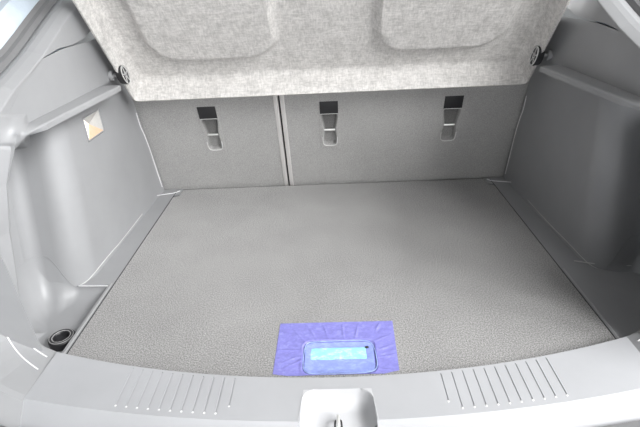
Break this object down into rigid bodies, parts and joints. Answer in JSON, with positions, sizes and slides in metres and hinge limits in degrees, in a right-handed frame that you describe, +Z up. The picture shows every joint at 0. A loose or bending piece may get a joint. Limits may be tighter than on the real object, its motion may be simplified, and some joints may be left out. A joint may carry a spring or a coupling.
{
  "type": "vehicle luggage compartment",
  "caption": "Luggage compartment of a crossover car with its body opening, trims, lifting load floor, tilting parcel shelf and folding seat backs.",
  "frame": {"origin": "middle of the floor pan's flat underside, below the middle of the load floor", "axes": "+X to the car's side on the right when looking in from behind, +Y forward to the seats, +Z up"},
  "size_m": [1.4538, 1.1074, 0.945],
  "materials": {
    "paint": "gloss",
    "primer": "satin",
    "trim": "moulded grain",
    "sill": "moulded grain",
    "carpet": "needle felt",
    "back_carpet": "needle felt",
    "seat_fabric": "woven",
    "felt": "pressed felt",
    "rubber": "matt",
    "black_plastic": "satin",
    "bar_steel": "bright",
    "lens": "frosted",
    "film": "thin film",
    "tray_foam": "bead foam"
  },
  "bodies": {
    "shell": {"floor_pan": "primer", "cross_member": "primer", "rear_panel": "paint", "side_members": "primer", "side_panel_left": "primer", "side_panel_right": "primer", "wheelhouse_left": "primer", "wheelhouse_right": "primer", "pillar_left": "paint", "pillar_right": "paint", "roof_header": "paint", "striker": "bar_steel", "weatherstrip": "rubber", "underfloor_tray": "tray_foam", "sill_trim": "sill", "corner_trim_left": "sill", "corner_trim_right": "sill", "side_trim_left": "trim", "side_trim_right": "trim", "upper_trim_left": "trim", "upper_trim_right": "trim", "pillar_trim_left": "trim", "pillar_trim_right": "trim", "header_trim": "trim", "lamp": "lens", "socket": "black_plastic", "seat_hinges": "primer", "shelf_pivots": "black_plastic"},
    "floor_board": {"load_floor": "carpet", "floor_handle": "black_plastic", "handle_film": "film"},
    "shelf": {"parcel_shelf": "felt", "shelf_clips": "black_plastic"},
    "seat_left": {"seat_back_left": "back_carpet", "seat_foam_left": "seat_fabric", "head_rest_left": "seat_fabric", "tether_cups_left": "black_plastic", "tether_bars_left": "bar_steel"},
    "seat_right": {"seat_back_right": "back_carpet", "seat_foam_right": "seat_fabric", "head_rests_right": "seat_fabric", "tether_cups_right": "black_plastic", "tether_bars_right": "bar_steel"}
  },
  "joints": [
    {"name": "floor_lift", "type": "hinge", "parent": "shell", "child": "floor_board", "pos_m": [0, 0.4, 0.132], "axis": [-1, 0, 0], "range_deg": [0, 28]},
    {"name": "shelf_tilt", "type": "hinge", "parent": "shell", "child": "shelf", "pos_m": [0, 0.195, 0.555], "axis": [1, 0, 0], "range_deg": [0, 54]},
    {"name": "seat_left_fold", "type": "hinge", "parent": "shell", "child": "seat_left", "pos_m": [0, 0.455, 0.115], "axis": [-1, 0, 0], "range_deg": [0, 100]},
    {"name": "seat_right_fold", "type": "hinge", "parent": "shell", "child": "seat_right", "pos_m": [0, 0.455, 0.115], "axis": [-1, 0, 0], "range_deg": [0, 100]}
  ]
}
